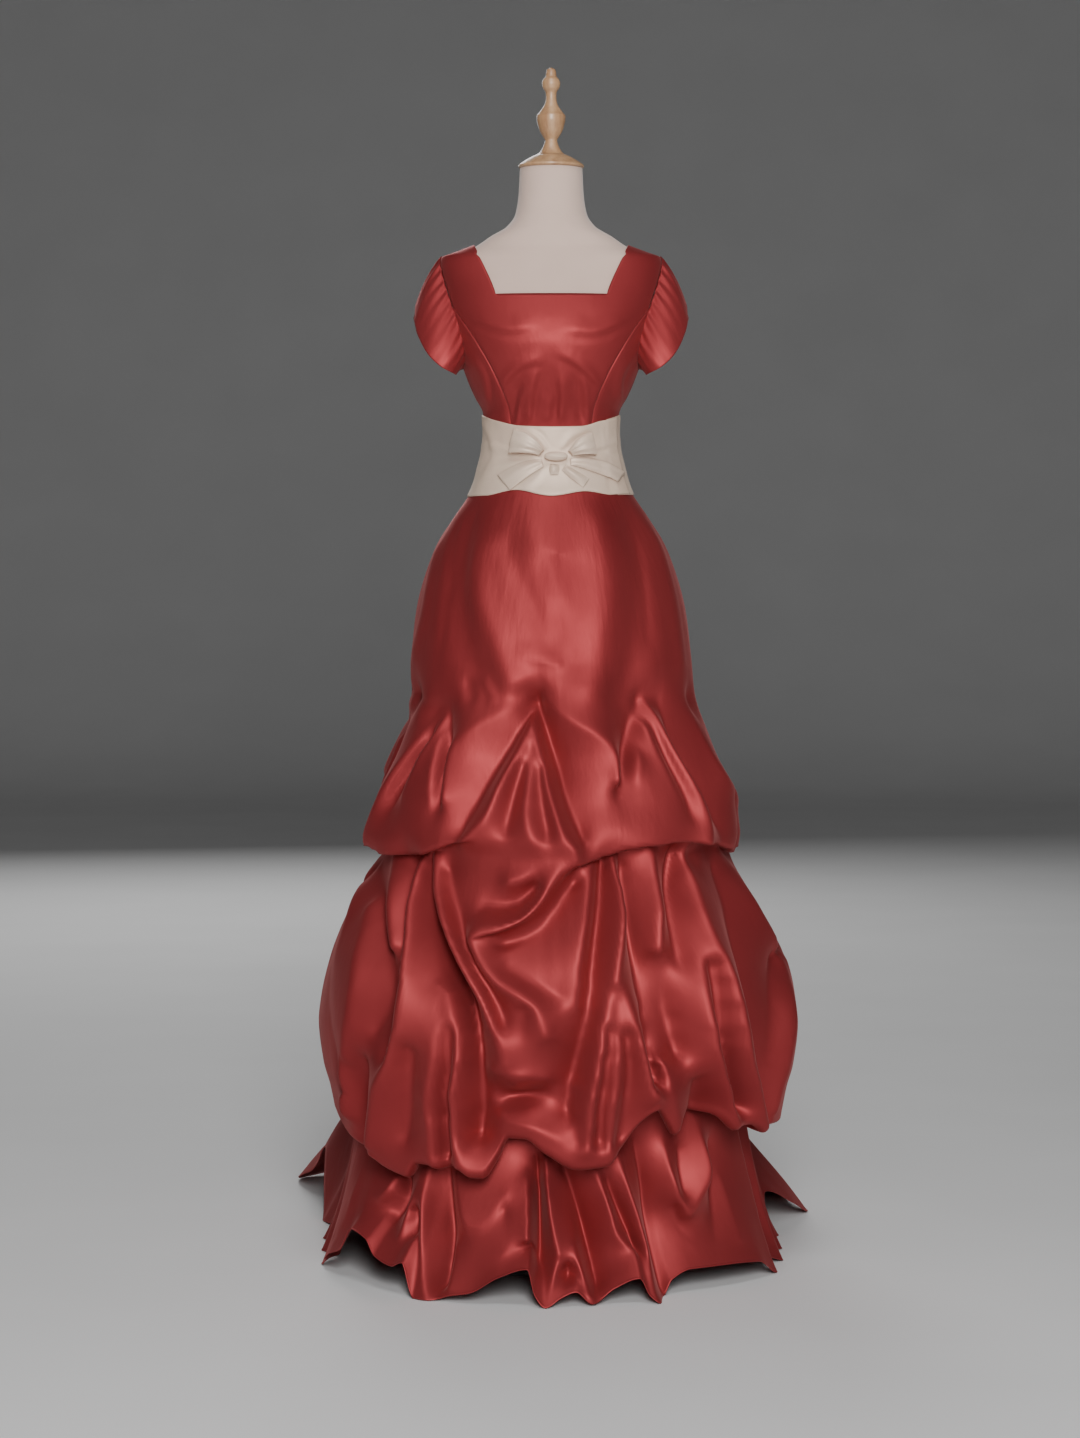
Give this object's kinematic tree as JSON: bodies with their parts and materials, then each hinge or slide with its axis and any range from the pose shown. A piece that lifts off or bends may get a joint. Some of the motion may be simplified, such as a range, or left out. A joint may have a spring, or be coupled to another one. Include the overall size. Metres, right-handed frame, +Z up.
{
  "type": "prom dress on dress form",
  "caption": "Floor-length satin dress with square neck, petal sleeves, bow sash, picked-up overskirt and trailing hem flounce, on a limbless dress form.",
  "frame": {"origin": "centre of the stand's base plate, on the floor", "axes": "+Z up along the pole, +X towards the wearer's left, -Y the way the dress faces"},
  "size_m": [0.8626, 1.1781, 1.8326],
  "materials": {
    "cloth": "satin",
    "satin": "satin",
    "jersey": "matte",
    "wood": "satin",
    "steel": "satin"
  },
  "bodies": {
    "root": {"belt_back": "satin", "belt_front": "satin", "bodice_back_left": "cloth", "bodice_back_right": "cloth", "bodice_front": "cloth", "bodice_side_back_left": "cloth", "bodice_side_back_right": "cloth", "bodice_side_front_left": "cloth", "bodice_side_front_right": "cloth", "bow_knot": "satin", "bow_loop_left": "satin", "bow_loop_right": "satin", "bow_tail_left": "satin", "bow_tail_right": "satin", "bow_tail_short": "satin", "bow_tongue": "satin", "flounce_back_left": "cloth", "flounce_back_right": "cloth", "flounce_front": "cloth", "form_base": "steel", "form_finial": "wood", "form_neck_cap": "wood", "form_pole": "steel", "form_torso": "jersey", "overskirt_back_left": "cloth", "overskirt_back_right": "cloth", "overskirt_front": "cloth", "sleeve_back_left": "cloth", "sleeve_back_right": "cloth", "sleeve_front_left": "cloth", "sleeve_front_right": "cloth"}
  },
  "joints": []
}
